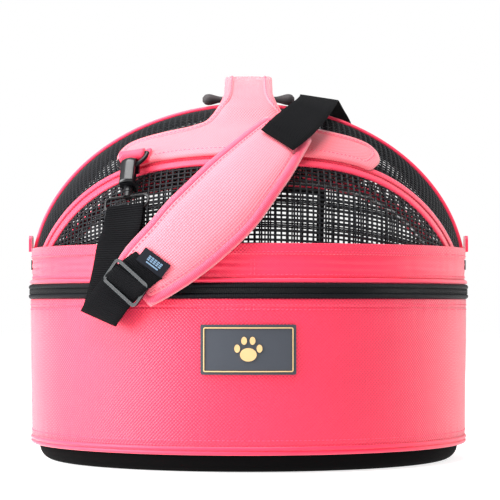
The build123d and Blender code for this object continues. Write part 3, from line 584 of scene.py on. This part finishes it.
def lattice(name, centre, inside, body, replaces, pitch=6.0, width=1.7):
    """Knitted net laid over the dome about a centre, cut exactly where inside() ends."""
    c = unit(centre)
    e1 = unit(np.cross([0, 0, 1.0], c)) if abs(c[2]) < 0.95 else np.array([1.0, 0, 0])
    e2 = np.cross(c, e1)
    scale = np.array([DOME_R, DOME_R, DOME_RISE])
    count = int(math.pi * 0.75 * DOME_R / pitch)

    def place(u, v):
        angle = np.hypot(u, v)
        ratio = np.sinc(angle / math.pi)[..., None]
        p = c * np.cos(angle)[..., None] + (e1 * u[..., None] + e2 * v[..., None]) * ratio
        return p * scale + [0, 0, DOME_Z]

    k = np.arange(-count, count + 1)
    i, j = np.meshgrid(k, k, indexing="ij")
    step = pitch / DOME_R
    near = np.hypot(i, j) * step < math.pi * 0.72
    pairs = []
    for di, dj in ((1, 0), (0, 1)):
        a = np.stack([i, j], -1)[near].astype(float)
        b = a + [di, dj]
        ia, ib = inside(place(*(a * step).T)), inside(place(*(b * step).T))
        keep = ia | ib
        a, b, ia, ib = a[keep], b[keep], ia[keep], ib[keep]
        good, bad = np.where(ia[:, None], a, b), np.where(ia[:, None], b, a)
        cut = ~(ia & ib)
        lo, hi = np.zeros(len(a)), np.ones(len(a))
        for _ in range(7):
            m = (lo + hi) / 2
            q = good + (bad - good) * m[:, None]
            ok = inside(place(*(q * step).T))
            lo, hi = np.where(ok, m, lo), np.where(ok, hi, m)
        end = np.where(cut[:, None], good + (bad - good) * lo[:, None], bad)
        over = ((good.sum(1) + di) % 2 == 0).astype(float)
        rise = np.stack([over, 1 - over], axis=1)
        pairs.append((place(*(good * step).T), place(*(end * step).T), rise))
    start, end, rise = (np.concatenate(part) for part in zip(*pairs))
    n = outward((start + end) / 2)
    verts, faces = boxes(start, end, n, width, -1.05 + 0.3 * rise, -0.25 + 0.45 * rise)
    mesh(name, verts, faces, "mesh", body, slot="black_mesh", replaces=replaces)


def nets():
    def panel(name, centre, inside, replaced, body="dome", foot=NET_FOOT_Z):
        lattice(name, centre, lambda p: inside(p) & (p[:, 2] > foot), body, [replaced])

    panel("net_front", (0, -0.94, 0.34), lambda p: (hoop_height(p, -1) < 4) & (p[:, 1] < 0), "front_mesh")
    for side, end in ((-1, "front"), (1, "back")):
        panel("net_top_" + end, (0, side * 0.35, 0.93),
              lambda p: (hoop_height(p, side) > 11) & (p[:, 1] * side > -0.5), "top_mesh_" + end)
    panel("net_back_sides", (0, 0.94, 0.34),
          lambda p: (hoop_height(p, 1) < 4) & (p[:, 1] > 0) & (np.abs(p[:, 0]) > DOOR_HALF + DOOR_TAPE),
          "back_mesh_sides")
    panel("net_back_door", (0, 0.94, 0.34),
          lambda p: (hoop_height(p, 1) < -4.5) & (p[:, 1] > 0) & (np.abs(p[:, 0]) < DOOR_HALF),
          "back_door_mesh", "back_door", 207.4)


def hoop_bands():
    for side, name in ((-1, "front_hoop_band"), (1, "back_hoop_band")):
        shifts = np.array([0.2, 1.0, 3.0, 5.2, 7.2, COIL_AT, 9.6, 12, BAND_W - 1, BAND_W - 0.2])
        lift = np.array([0, .25, .3, .2, 0, -.2, 0, .2, .1, -.1])
        grid = np.stack([hoop(side, 0.3 + k, s, 220, 206.6) for s, k in zip(shifts, lift)], axis=1)
        n = outward(grid)
        skin(name + "_fabric", grid, 2.3, "fine", "dome", normals=n, slot="pink_fabric", replaces=[name])
        rows = []
        for s in (2.2, 13.8):
            row = hoop(side, 1.62, s, 220, 208)
            rows.append((row, outward(row)))
        dashes(name + "_stitches", rows, "thread", "dome", slot="pink_fabric")
    teeth = hoop(-1, 1.5, COIL_AT, 720, 207.5)
    run = np.cumsum(np.linalg.norm(np.diff(teeth, axis=0), axis=1))
    at = np.interp(np.arange(0, run[-1], 1.5), run, np.arange(1, len(teeth)))
    mid = np.stack([np.interp(at, np.arange(len(teeth)), teeth[:, k]) for k in range(3)], axis=1)
    n = outward(mid)
    away = unit(np.cross(unit(np.gradient(mid, axis=0)), n))
    odd = (np.arange(len(mid)) % 2)[:, None] * 1.1
    verts, faces = boxes(mid - away * (1.7 - odd), mid + away * (0.6 + odd), n, 1.05, 0.0, 1.1)
    mesh("front_door_teeth", verts, faces, "coil", "dome", slot="pink_coil", replaces=["front_door_coil"])


# the handle's middle: distance from the middle, height
HANDLE = [(0, 377.0), (42, 372.6), (60, 367.4), (76, 360.2), (92, 350.8), (104, 342.4), (118, 330.5),
          (128, 322.5)]


def saddle_height(x, y):
    """Middle of the yoke and handle fabric at a plan point, and its thickness, both in mm."""
    x, y = np.asarray(x, float), np.asarray(y, float)
    base = above(x, y, YOKE_LIFT)[..., 2]
    ay = np.abs(y)
    path = np.interp(ay, *zip(*HANDLE))
    ridge = above(np.zeros_like(x), y, YOKE_LIFT)[..., 2]
    part = (1 - smooth(np.abs(x), 20, 42)) * (1 - smooth(ay, 108, 130))
    lift = np.maximum(path - ridge, 0) * part
    fold = 0.9 * np.exp(-((ay - 112) / 5.5) ** 2) - 0.6 * np.exp(-((ay - 121) / 4) ** 2)
    fold = (fold + 0.5 * np.exp(-((ay - 97) / 4) ** 2)) * (1 - smooth(np.abs(x), 18, 44))
    thick = 2.2 + 3.6 * smooth(lift, 4, 22) * (1 - 0.35 * smooth(np.abs(x), 12, 21))
    return base + lift + fold, thick


def saddle_point(x, y):
    """Points in the middle of the yoke's fabric, with their normals and thickness."""
    e = 0.5
    z, thick = saddle_height(x, y)
    zx = (saddle_height(x + e, y)[0] - saddle_height(x - e, y)[0]) / (2 * e)
    zy = (saddle_height(x, y + e)[0] - saddle_height(x, y - e)[0]) / (2 * e)
    n = unit(np.stack([-zx, -zy, np.ones_like(z)], axis=-1))
    p = np.stack([x, y, z], axis=-1)
    return p, n, thick


def saddle_outline():
    lower = hoop_at(-1, YOKE_LIFT, 11.6, np.linspace(0, 113, 12))[:, :2]
    upper = [(121, -122), (123.5, -113), (121.5, -103), (114, -97.5), (104, -99.5), (94, -103.5),
             (80, -109), (66, -113), (56, -114.5), (48, -113.5), (40, -110.5), (33, -106.5), (27.5, -101.5),
             (24.3, -96), (22.4, -88), (21.8, -75)]
    upper += [(HANDLE_HALF, y) for y in (-58, -40, -20)]
    quarter = [tuple(p) for p in lower[1:]] + upper
    right = quarter + [(HANDLE_HALF, 0)] + [(x, -y) for x, y in reversed(quarter)]
    bottom_f = tuple(lower[0])
    whole = right + [(bottom_f[0], -bottom_f[1])] + [(-x, y) for x, y in reversed(right)]
    return resample([bottom_f] + whole, pitch=2.6, close=True)


def inward(outline, depth):
    """The outline moved inward by depth, in plan."""
    tangent = np.roll(outline, -1, 0) - np.roll(outline, 1, 0)
    for _ in range(2):
        tangent = (np.roll(tangent, 1, 0) + tangent + np.roll(tangent, -1, 0)) / 3
    n = unit(np.stack([-tangent[:, 1], tangent[:, 0]], axis=1))
    return outline + n * depth


def plate(name, outline, grid_pitch, point_fn, mat, body, **more):
    """A sheet over a plan outline, triangulated inside, with side walls."""
    lo, hi = outline.min(0), outline.max(0)
    gx, gy = np.meshgrid(np.arange(lo[0], hi[0], grid_pitch), np.arange(lo[1], hi[1], grid_pitch))
    field = np.stack([gx.ravel(), gy.ravel()], axis=1)
    n = len(outline)
    a, b = outline, np.roll(outline, -1, 0)
    hits = (a[None, :, 1] > field[:, None, 1]) != (b[None, :, 1] > field[:, None, 1])
    slope = (b[:, 0] - a[:, 0]) / np.where(np.abs(b[:, 1] - a[:, 1]) < 1e-9, 1e-9, b[:, 1] - a[:, 1])
    cross = a[None, :, 0] + (field[:, None, 1] - a[None, :, 1]) * slope[None]
    odd = ((hits & (field[:, None, 0] < cross)).sum(1) % 2) == 1
    far = np.min(np.linalg.norm(field[:, None] - outline[None], axis=2), axis=1) > grid_pitch * 0.55
    pts = np.concatenate([outline, field[odd & far]])
    got = delaunay_2d_cdt([Vector(p) for p in pts], [(i, (i + 1) % n) for i in range(n)], [], 1, 1e-4)
    flat = np.array([tuple(v) for v in got[0]])
    tris = [f for f in got[2]]
    p, normal, thick = point_fn(flat[:, 0], flat[:, 1])
    top, low = p + normal * thick[:, None] / 2, p - normal * thick[:, None] / 2
    m = len(flat)
    edges = {}
    for f in tris:
        for q in range(len(f)):
            edges[(f[q], f[(q + 1) % len(f)])] = True
    rim = [(s, e) for s, e in edges if (e, s) not in edges]
    faces = [tuple(f) for f in tris] + [tuple(m + q for q in reversed(f)) for f in tris]
    faces += [(e, s, m + s, m + e) for s, e in rim]
    uvp = np.stack([flat[:, 0], flat[:, 1] * 1.15], axis=1)
    uv = [uvp[q % m] for f in faces for q in f]
    return mesh(name, np.concatenate([top, low]), faces, mat, body, uv, **more)


def hem_strip(name, outline, width, height, lift_fn, mat, body, stitch, **more):
    """A folded edge strip laid on a plate's border, with a row of stitches."""
    cols = np.array([-0.7, 0.2, 1.2, width * 0.5, width - 1.0, width])
    rise = np.array([-0.9, 0.1, 0.35, 0.4, 0.3, -0.25]) * height
    tops = []
    for c, h in zip(cols, rise):
        p, n, thick = lift_fn(*inward(outline, c).T)
        tops.append(p + n * (thick / 2 + h)[:, None])
    grid = np.stack(tops, axis=1)
    _, n, _ = lift_fn(grid[..., 0], grid[..., 1])
    skin(name, grid, 0.9, mat, body, True, normals=n, **more)
    p, n, thick = lift_fn(*inward(outline, stitch).T)
    row = p + n * (thick / 2 + height * 0.4 + 0.5)[:, None]
    dashes(name + "_stitches", [(row, n)], "thread", body, slot="pink_fabric")


def saddle():
    outline = saddle_outline()
    x, y = outline.T
    if np.sum(x * np.roll(y, -1) - np.roll(x, -1) * y) < 0:
        outline = outline[::-1]
    plate("saddle_and_handle", outline, 3.4, saddle_point, "yoke", "dome",
          slot="pink_fabric", replaces=["saddle_front", "saddle_back", "carry_handle"])
    hem_strip("saddle_hem", outline, 7.4, 1.5, saddle_point, "yoke", "dome", 5.6, slot="pink_fabric")


# ---------------------------------------------------------------- strap

PAD_A = [(-118, 190), (-108, 204), (-90, 223), (-72, 244), (-54, 262), (-36, 280), (-18, 296), (0, 312),
         (17, 326)]
PAD_B = [(-89, 151), (-70, 161), (-44, 178), (-17, 200), (5, 222), (23, 247), (39, 271), (50, 291),
         (57, 304)]


def shoulder_pad():
    left, right = (resample([front(x, z, PAD_GAP) for x, z in edge], 90) for edge in (PAD_A, PAD_B))
    s = np.linspace(0, 1, 25)
    flat = left[:, None] * (1 - s)[None, :, None] + right[:, None] * s[None, :, None]
    r = np.hypot(flat[..., 0], flat[..., 1])
    # back onto the offset dome, along the sight line from the drum's middle
    n = outward(flat)
    gap = PAD_GAP - (r - dome_r(flat[..., 2], 0.0)) * np.clip(np.hypot(n[..., 0], n[..., 1]), 0.3, 1)
    grid = flat + n * np.clip(gap, -4, 12)[..., None]
    across = np.minimum(s, 1 - s) * np.linalg.norm(right - left, axis=1).mean()
    along = np.minimum(np.arange(90), np.arange(90)[::-1]) * 3.0
    edge = np.minimum(across[None], along[:, None])
    thick = 5.2 + 3.2 * smooth(edge, 2.0, 17.0) + 0.12 * waves(np.arange(90)[:, None] * 0.35, 31)
    n = grid_normals_out(grid)
    made = skin("shoulder_pad_face", grid, thick, "pad", "dome", normals=n, slot="pink_fabric",
                replaces=["shoulder_pad"])
    # the binding wraps the pad's edge all round
    loop = np.concatenate([grid[:-1, 0], grid[-1, :-1], grid[:0:-1, -1], grid[0, :0:-1]])
    ups = np.concatenate([n[:-1, 0], n[-1, :-1], n[:0:-1, -1], n[0, :0:-1]])
    pts = resample(np.concatenate([loop, ups], axis=1)[::3], pitch=3.0, close=True)
    for _ in range(3):
        pts = (np.roll(pts, 1, 0) + 2 * pts + np.roll(pts, -1, 0)) / 4
    path, up = pts[:, :3], unit(pts[:, 3:])
    tangent = unit(np.roll(path, -1, 0) - np.roll(path, 1, 0))
    side = unit(np.cross(up, tangent))
    if np.mean(np.sum(side * (path.mean(0) - path), axis=1)) < 0:
        side = -side
    a = np.linspace(0, 2 * math.pi, 17)[:-1]
    co, si = np.sign(np.cos(a)) * np.abs(np.cos(a)) ** 0.8, np.sign(np.sin(a)) * np.abs(np.sin(a)) ** 0.8
    rings = path[:, None] + side[:, None] * (3.1 + 4.1 * co)[:, None] + up[:, None] * (3.75 * si)[:, None]
    loft("shoulder_pad_binding", rings, "binding", "dome", True, slot="pink_fabric")
    row = path + side * 8.3 + up * 3.9
    dashes("shoulder_pad_stitches", [(row, up)], "thread", "dome", slot="pink_fabric")


def grid_normals_out(grid):
    n = grid_normals(grid)
    return n * np.sign(np.sum(n * (grid - CORE), axis=-1, keepdims=True))


def tape(name, left, right, replaces, across=9, pitch=2.82):
    """Webbing between two edge lines."""
    both = np.concatenate([np.asarray(left, float), np.asarray(right, float)], axis=1)
    both = resample(both, pitch=pitch)
    s = np.linspace(0, 1, across)[None, :, None]
    grid = both[:, None, :3] * (1 - s) + both[:, None, 3:] * s
    n = grid_normals(grid)
    # edges are a touch thinner, as woven selvedge is
    t = WEB_T * (1 - 0.18 * (np.abs(s[0, :, 0] - 0.5) > 0.44))[None]
    made = skin(name, grid, np.broadcast_to(t, grid.shape[:2]), "webbing", "dome", normals=n,
                slot="black_webbing", replaces=replaces)


def bar_wrap(frame, angles):
    """Left and right points of webbing turned round a ring's straight bar."""
    o, x, y, z = (np.array(v) for v in frame)
    mid = [o + (z * math.cos(a) + y * math.sin(a)) * WRAP_R for a in np.radians(angles)]
    return [m - x * WRAP_HALF for m in mid], [m + x * WRAP_HALF for m in mid]


# the webbing rings: middle of the straight bar, then along it, up to the hook and out of the dome
RING_FRONT = ((-111.58, -183.38, 239.22), (0.956, -0.272, 0.109), (0.057, 0.538, 0.841),
              (-0.287, -0.798, 0.53))
RING_BACK = ((95.86, 97.32, 323.47), (0.904, -0.365, -0.222), (0.208, 0.83, -0.518), (0.373, 0.422, 0.826))


def hardware_covers():
    """The hook's crowned outer face and the full loop of fabric around each D-ring's bar."""
    for name, frame in (("front", RING_FRONT), ("back", RING_BACK)):
        o, x, y, z = (np.array(v) for v in frame)
        turn = np.radians(np.linspace(8, 82, 9))
        up = np.concatenate([np.linspace(24, 46.2, 8), 46.2 + 8.0 * np.sin(turn)])
        out = np.concatenate([np.full(8, 1.0), np.cos(turn)])
        lift = np.concatenate([np.zeros(8), np.sin(turn)])
        s = np.linspace(-1, 1, 15)
        crown = 7.4 + 1.9 * (1 - s ** 2)
        grid = (o + x * (6.7 * s)[:, None] + y * (up[:, None] + (crown - 8.0) * lift[:, None])[..., None]
                + z * (crown * out[:, None])[..., None])
        skin("hook_face_" + name, grid, 0.7, "gloss", "dome", normals=np.broadcast_to(z, grid.shape),
             slot="black_metal")
        run = np.array([-12.6, -12.4, -11.8, -9, -4, 0, 4, 9, 11.8, 12.4, 12.6])
        size = np.array([0.2, 0.8, 1.0, 1.03, 1.0, 0.98, 1.0, 1.03, 1.0, 0.8, 0.2])
        a = np.linspace(0, 2 * math.pi, 25)[:-1]
        rings = (o + x * run[:, None, None] + y * (61.6 + 5.9 * size[:, None] * np.cos(a))[..., None]
                 + z * (-2.4 + 5.4 * size[:, None] * np.sin(a))[..., None])
        loft("ring_loop_fold_" + name, rings, "fine", "dome", slot="pink_fabric")


def strap_front():
    turn_l, turn_r = bar_wrap(RING_FRONT, [165, 130, 90, 50, 15, 0])
    # rows of x, height and lift of the left edge, then of the right edge
    back = [(-126, 190, 6.6, -97, 182, 6.6), (-130.5, 206, 6.8, -93, 204, 6.8),
            (-130, 224, 10.5, -94, 226, 10.5)]
    down = [(-133, 221, 14.0, -98, 222, 14.0), (-138.5, 206, 9.6, -104, 206, 9.6),
            (-141.5, 190, 8.8, -108, 190, 8.8), (-145, 174, 8.7, -111.5, 170, 8.7),
            (-149, 159, 9.0, -115.5, 151, 9.0), (-151.6, 150.5, 9.8, -118.2, 137, 9.8)]
    fold = [(-153.0, 146.6, 12.0, -119.6, 132.8, 12.0), (-153.4, 145.8, 14.3, -120.0, 132.0, 14.3),
            (-153.0, 146.8, 17.0, -119.4, 133.4, 17.0)]
    tail = [(-149, 153, 18.8, -115, 139, 18.8), (-142.5, 162, 19.0, -109.5, 146.5, 19.0)]
    # under the glide's near edge, over its bar, under its far edge
    lane = [(-136, 170.4, 19.1, -104, 152.6, 19.1), (-128.6, 178.0, 24.2, -96.6, 159.6, 24.2),
            (-125.0, 181.2, 24.9, -93.2, 162.6, 24.9), (-121.4, 184.2, 24.2, -90.0, 165.4, 24.2),
            (-114.0, 190.2, 19.3, -84.0, 170.2, 19.3), (-107, 195.5, 19.1, -80, 173.2, 19.1),
            (-101, 199, 19.1, -77, 175, 19.1)]
    route = down + fold + tail + lane
    left = [front(*row[:3]) for row in back] + turn_l + [front(*row[:3]) for row in route]
    right = [front(*row[3:]) for row in back] + turn_r + [front(*row[3:]) for row in route]
    tape("strap_webbing_lower", left, right,
         ["strap_webbing_front", "strap_webbing_return", "strap_turn_front"])


def strap_over():
    left = [(12, -168, 312.5), (22, -153, 323.5), (31, -136, 332.4), (40, -116, 341), (46, -98, 347),
            (50, -72, 353), (51, -44, 357), (54, -12, 358.8), (61, 26, 356.2), (70, 62, 347.5)]
    right = [(41, -185, 292.5), (53, -172, 302.5), (62, -158, 311.5), (72, -134, 324), (79, -112, 335),
             (84, -80, 344), (87, -48, 350.4), (90, -12, 353.6), (96, 26, 349.4), (105, 58, 338.5)]
    turn_l, turn_r = bar_wrap(RING_BACK, [0, 40, 90, 140, 180])
    o, x, y, z = (np.array(v) for v in RING_BACK)
    tail = [o - y * d - z * (WRAP_R - d * 0.02) for d in (8, 18)]
    left += turn_l + [m - x * WRAP_HALF for m in tail]
    right += turn_r + [m + x * WRAP_HALF for m in tail]
    tape("strap_webbing_upper", left, right, ["strap_webbing_over"])


def pad_end_stitches():
    # box stitching where the upper webbing is sewn to the pad
    a, b = np.array([14.0, -168.5, 315.0]), np.array([40.0, -186.0, 296.0])
    rows = []
    for k in (4.0, 12.0):
        way = unit(np.array([9.0, 17.0, 11.0]))
        p = resample([a + way * k, (a + b) / 2 + way * k, b + way * k], 20)
        n = unit(np.array([-0.05, -0.72, 0.69]) + p * 0)
        rows.append((p + n * 1.2, n))
    dashes("strap_box_stitches", rows, "webbing", "dome", slot="black_webbing")


def label_marks():
    """Plain light bars in place of any woven lettering."""
    o = np.array([-92.0, 203.0])
    u, v = np.array([23.0, -17.0]), np.array([-9.0, -11.0])
    starts, ends = [], []
    for a, b, c in ((0.26, 0.80, 0.30), (0.26, 0.80, 0.42), (0.26, 0.80, 0.54)):
        cuts = np.linspace(a, b, 6)
        for k in range(5):
            starts.append(o + u * (cuts[k] + 0.012) + v * c)
            ends.append(o + u * (cuts[k + 1] - 0.012) + v * c)
    starts.append(o + u * 0.30 + v * 0.72)
    ends.append(o + u * 0.76 + v * 0.72)
    starts, ends = np.array(starts), np.array(ends)
    p, q = (front(e[:, 0], e[:, 1], 21.0) for e in (starts, ends))
    verts, faces = boxes(p, q, outward((p + q) / 2), 1.25, -0.2, 0.35)
    mesh("woven_label_bars", verts, faces, "print", "dome", smooth=False, slot="woven_label")


def glide_edges():
    """Painted highlight: a light grey line along the glide's upper edges, standing in for light caught on its
    black metal.
    """
    p = front(-110.0, 171.0, 22.0)
    n = unit(np.array([p[0], p[1], 0.0]))
    x = unit(np.cross([0, 0, 1.0], n))
    y = np.cross(n, x)
    c, s = math.cos(math.radians(-38)), math.sin(math.radians(-38))
    ax, ay = x * c + y * s, -x * s + y * c
    for k, (w, h, r) in enumerate(((21.2, 12.7, 4.8), (19.2, 10.2, 2.6))):
        pts = []
        for sx, sy, start in ((1, 1, 0), (-1, 1, 90), (-1, -1, 180), (1, -1, 270)):
            pts += [(sx * (w - r) + r * math.cos(t), sy * (h - r) + r * math.sin(t))
                    for t in np.radians([start, start + 30, start + 60, start + 90])]
        path = [p + ax * a + ay * b + n * 1.25 for a, b in pts]
        tube(resample(path, pitch=2.0, close=True), 0.28, "tri_glide_edge_%d" % k, "edge", "dome", True,
             "black_metal", 6)


# ---------------------------------------------------------------- kept CAD pieces

KEPT = {
    "base_tray": ("tray", "black_plastic"), "drum_foam_wall": ("foam", "foam"),
    "plush_liner": ("plush", "plush"), "floor_board": ("board", "board"), "foot_piping": ("piping", "pink_fabric"),
    "zip_teeth_lower": ("zipcoil", "black_webbing"), "zip_teeth_upper": ("zipcoil", "black_webbing"),
    "badge_plate": ("slate", "badge_plate"), "badge_relief": ("tan", "badge_relief"),
    "rear_hinge_strip": ("plastic", "black_webbing"), "collar_piping": ("piping", "pink_fabric"),
    "rim_wire": ("steel", "steel_rod"), "front_hoop_rod": ("steel", "steel_rod"),
    "back_hoop_rod": ("steel", "steel_rod"), "ridge_rod": ("steel", "steel_rod"),
    "ridge_piping": ("piping", "pink_fabric"), "cross_bar": ("rubber", "grey_rubber"),
    "side_tab_left": ("piping", "pink_fabric"), "side_tab_right": ("piping", "pink_fabric"),
    "belt_keeper_left": ("plastic", "black_webbing"), "belt_keeper_right": ("plastic", "black_webbing"),
    "ring_loop_front": ("piping", "pink_fabric"), "ring_loop_back": ("piping", "pink_fabric"),
    "d_ring_front": ("metal", "black_metal"), "d_ring_back": ("metal", "black_metal"),
    "hook_body_front": ("metal", "black_metal"), "hook_body_back": ("metal", "black_metal"),
    "hook_gate_front": ("metal", "black_metal"), "hook_gate_back": ("metal", "black_metal"),
    "strap_ring_front": ("metal", "black_metal"), "strap_ring_back": ("metal", "black_metal"),
    "tri_glide": ("metal", "black_metal"), "woven_label": ("label", "woven_label"),
    "back_door_hem": ("ziptape2", "black_webbing"),
    "zip_slider_a": ("metal", "black_metal"), "zip_slider_b": ("metal", "black_metal"),
    "zip_pull_a": ("plastic", "black_metal"), "zip_pull_b": ("plastic", "black_metal"),
}


def dress_cad():
    soft = ("hook_body", "hook_gate", "tri_glide", "base_tray", "cross_bar", "d_ring", "strap_ring",
            "piping", "rod", "rim_wire", "ring_loop", "side_tab")
    for name, (mat, slot) in KEPT.items():
        made = NODE[name]
        made.data.materials.clear()
        made.data.materials.append(M[mat])
        if name.startswith(("hook_body", "tri_glide", "ring_loop", "side_tab", "zip_slider",
                            "badge_plate")):
            cut = made.modifiers.new("soften", "BEVEL")
            cut.width = 0.0005
            cut.segments = 2
            cut.limit_method = "ANGLE"
            cut.angle_limit = math.radians(40)
        if any(key in name for key in soft):
            for poly in made.data.polygons:
                poly.use_smooth = True
            sharp = made.modifiers.new("split", "EDGE_SPLIT")
            sharp.split_angle = math.radians(38)


# ---------------------------------------------------------------- stage

def lamp(name, where, aim, size, power, color=(1, 1, 1)):
    data = bpy.data.lights.new(name, "AREA")
    data.shape = "RECTANGLE"
    data.size, data.size_y = size
    data.energy = power
    data.color = color
    made = bpy.data.objects.new(name, data)
    made.location = where
    made.rotation_mode = "QUATERNION"
    made.rotation_quaternion = (Vector(aim) - Vector(where)).to_track_quat("-Z", "Y")
    bpy.context.scene.collection.objects.link(made)


def stage():
    scene = bpy.context.scene
    scene.view_settings.view_transform = "Standard"
    scene.view_settings.look = "None"
    world = bpy.data.worlds.new("studio")
    scene.world = world
    world.use_nodes = True
    tree = world.node_tree
    tree.nodes.clear()
    path = node(tree, "ShaderNodeLightPath")
    shown = node(tree, "ShaderNodeBackground", Strength=1.0)
    shown.inputs["Color"].default_value = (1, 1, 1, 1)
    lit = node(tree, "ShaderNodeBackground", Strength=0.42)
    lit.inputs["Color"].default_value = (1, 1, 1, 1)
    mix = node(tree, "ShaderNodeMixShader")
    out = node(tree, "ShaderNodeOutputWorld")
    tree.links.new(path.outputs["Is Camera Ray"], mix.inputs["Fac"])
    tree.links.new(lit.outputs[0], mix.inputs[1])
    tree.links.new(shown.outputs[0], mix.inputs[2])
    tree.links.new(mix.outputs[0], out.inputs["Surface"])

    floor_mat = bpy.data.materials.new("paper")
    floor_mat.use_nodes = True
    tree = floor_mat.node_tree
    tree.nodes.clear()
    diffuse = node(tree, "ShaderNodeBsdfDiffuse")
    diffuse.inputs["Color"].default_value = (0.5, 0.5, 0.5, 1)
    glow = node(tree, "ShaderNodeEmission", Strength=0.8)
    add = node(tree, "ShaderNodeAddShader")
    out = node(tree, "ShaderNodeOutputMaterial")
    tree.links.new(diffuse.outputs[0], add.inputs[0])
    tree.links.new(glow.outputs[0], add.inputs[1])
    tree.links.new(add.outputs[0], out.inputs["Surface"])
    bpy.ops.mesh.primitive_circle_add(vertices=64, radius=9.0, fill_type="NGON", location=(0, 0, -0.0004))
    floor = bpy.context.object
    floor.name = "floor"
    floor.data.materials.append(floor_mat)

    lamp("left_box", (-1.9, -0.75, 0.75), (0, 0, 0.2), (1.3, 1.7), 92)
    lamp("top_box", (-0.35, -0.5, 1.9), (0, 0, 0.3), (1.6, 1.2), 66)
    lamp("right_rim", (1.7, 0.75, 0.6), (0, 0, 0.2), (0.5, 1.5), 12)

    data = bpy.data.cameras.new("camera")
    data.sensor_width = 36.0
    data.lens = 149.8
    data.clip_start, data.clip_end = 0.05, 60.0
    eye = bpy.data.objects.new("camera", data)
    eye.location = (0.0015, -2.08, 0.151)
    eye.rotation_mode = "QUATERNION"
    eye.rotation_quaternion = (Vector((0.0015, 0, 0.206)) - eye.location).to_track_quat("-Z", "Y")
    scene.collection.objects.link(eye)
    scene.camera = eye


drum_cover()
zip_chain()
collar()
cushion()
nets()
hoop_bands()
saddle()
shoulder_pad()
strap_front()
strap_over()
hardware_covers()
pad_end_stitches()
label_marks()
glide_edges()
dress_cad()
stage()
